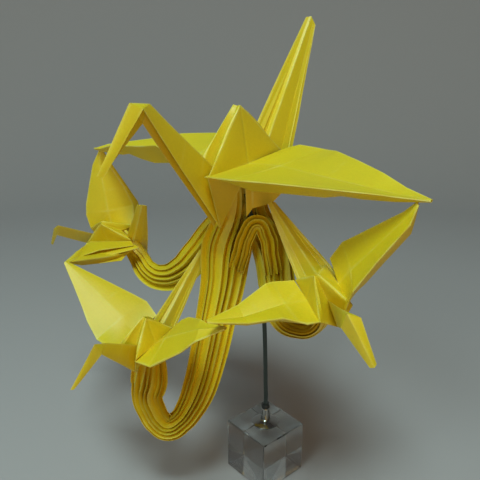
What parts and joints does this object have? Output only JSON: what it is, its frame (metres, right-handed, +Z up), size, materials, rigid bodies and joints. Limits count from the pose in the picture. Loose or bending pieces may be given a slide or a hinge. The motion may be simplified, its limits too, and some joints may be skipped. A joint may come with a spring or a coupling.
{
  "type": "paper crane sculpture on a stand",
  "caption": "Connected origami cranes folded from one pierced sheet, one large crane over a ring of small ones, held on a wire stem in a clear block.",
  "frame": {"origin": "centre of the clear block's bottom face, where the stand rests", "axes": "+Z is up along the wire stem; the sculpture's front, with the open wing of the large crane and the hanging arms, looks towards -Y"},
  "size_m": [0.1834, 0.1579, 0.2405],
  "materials": {
    "yellow_paper": "matt lemon-yellow folding paper with crisp creases",
    "dark_wire": "thin wire coated in very dark green, slightly glossy",
    "bright_metal": "polished bright plating",
    "dark_collar": "smooth black sleeve",
    "clear_acrylic": "polished clear acrylic with fine bevelled edges"
  },
  "bodies": {
    "root": {"folded_sheet": "yellow_paper", "stem_wire": "dark_wire", "stem_socket": "bright_metal", "stem_collar": "dark_collar", "clear_block": "clear_acrylic"}
  },
  "joints": []
}
